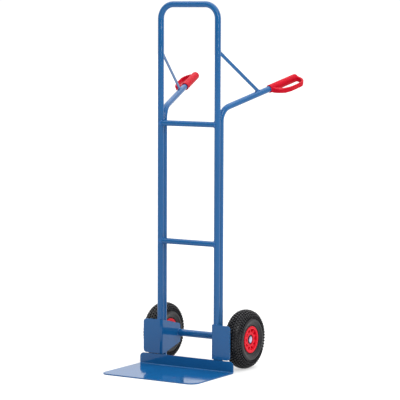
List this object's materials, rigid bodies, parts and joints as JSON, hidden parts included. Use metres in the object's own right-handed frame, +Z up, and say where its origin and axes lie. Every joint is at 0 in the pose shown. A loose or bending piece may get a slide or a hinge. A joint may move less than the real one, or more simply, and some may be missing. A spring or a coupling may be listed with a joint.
{
  "type": "hand truck",
  "caption": "High-back tubular steel hand truck with a bent toe plate, braced rear handles with closed grips, and pneumatic wheels on a fixed axle.",
  "frame": {"origin": "on the floor, under the middle of the whole truck", "axes": "+X to the truck's right side seen from the front, +Y to the rear towards the grips, +Z up; the toe plate faces -Y"},
  "size_m": [0.6341, 0.8176, 1.6005],
  "materials": {
    "frame_blue": "glossy blue powder coat",
    "grip_red": "satin moulded red plastic",
    "rim_red": "glossy moulded red plastic",
    "tyre": "matt black rubber",
    "rubber_black": "matt black rubber",
    "plastic_black": "black plastic",
    "chrome": "polished chrome plate",
    "zinc_plated_steel": "zinc plate",
    "bright_steel": "ground steel, lightly greased",
    "nylon": "natural nylon"
  },
  "bodies": {
    "frame": {"axle_bushes": "bright_steel", "axle_rod": "bright_steel", "axle_tube": "frame_blue", "axle_washers": "zinc_plated_steel", "left_axle_cap": "chrome", "left_bracket": "frame_blue", "left_grip": "grip_red", "left_handle_tube": "frame_blue", "left_strut": "frame_blue", "lower_rung": "frame_blue", "main_frame_tube": "frame_blue", "right_axle_cap": "chrome", "right_bracket": "frame_blue", "right_grip": "grip_red", "right_handle_tube": "frame_blue", "right_strut": "frame_blue", "toe_plate": "frame_blue", "upper_rung": "frame_blue", "weld_beads": "frame_blue"},
    "left_wheel": {"left_hub_sleeve": "bright_steel", "left_inner_tube": "rubber_black", "left_rim_bolts": "zinc_plated_steel", "left_rim_inner_half": "rim_red", "left_rim_nuts": "zinc_plated_steel", "left_rim_outer_half": "rim_red", "left_tyre": "tyre", "left_valve_cap": "plastic_black", "left_valve_stem": "rubber_black"},
    "left_roller_cages": {"left_bearing_cages": "nylon", "left_bearing_rollers": "bright_steel"},
    "right_wheel": {"right_hub_sleeve": "bright_steel", "right_inner_tube": "rubber_black", "right_rim_bolts": "zinc_plated_steel", "right_rim_inner_half": "rim_red", "right_rim_nuts": "zinc_plated_steel", "right_rim_outer_half": "rim_red", "right_tyre": "tyre", "right_valve_cap": "plastic_black", "right_valve_stem": "rubber_black"},
    "right_roller_cages": {"right_bearing_cages": "nylon", "right_bearing_rollers": "bright_steel"}
  },
  "joints": [
    {"name": "left_wheel_spin", "type": "hinge", "parent": "frame", "child": "left_wheel", "pos_m": [-0.2108, 0.05463, 0.13], "axis": [1, 0, 0], "continuous": true},
    {"name": "left_roller_cage_spin", "type": "hinge", "parent": "frame", "child": "left_roller_cages", "pos_m": [-0.2108, 0.05463, 0.13], "axis": [1, 0, 0], "continuous": true},
    {"name": "right_wheel_spin", "type": "hinge", "parent": "frame", "child": "right_wheel", "pos_m": [0.2108, 0.05463, 0.13], "axis": [1, 0, 0], "continuous": true},
    {"name": "right_roller_cage_spin", "type": "hinge", "parent": "frame", "child": "right_roller_cages", "pos_m": [0.2108, 0.05463, 0.13], "axis": [1, 0, 0], "continuous": true}
  ],
  "couplings": [
    {"joint": "left_roller_cage_spin", "follows": "left_wheel_spin", "ratio": 0.6169},
    {"joint": "right_roller_cage_spin", "follows": "right_wheel_spin", "ratio": 0.6169}
  ]
}
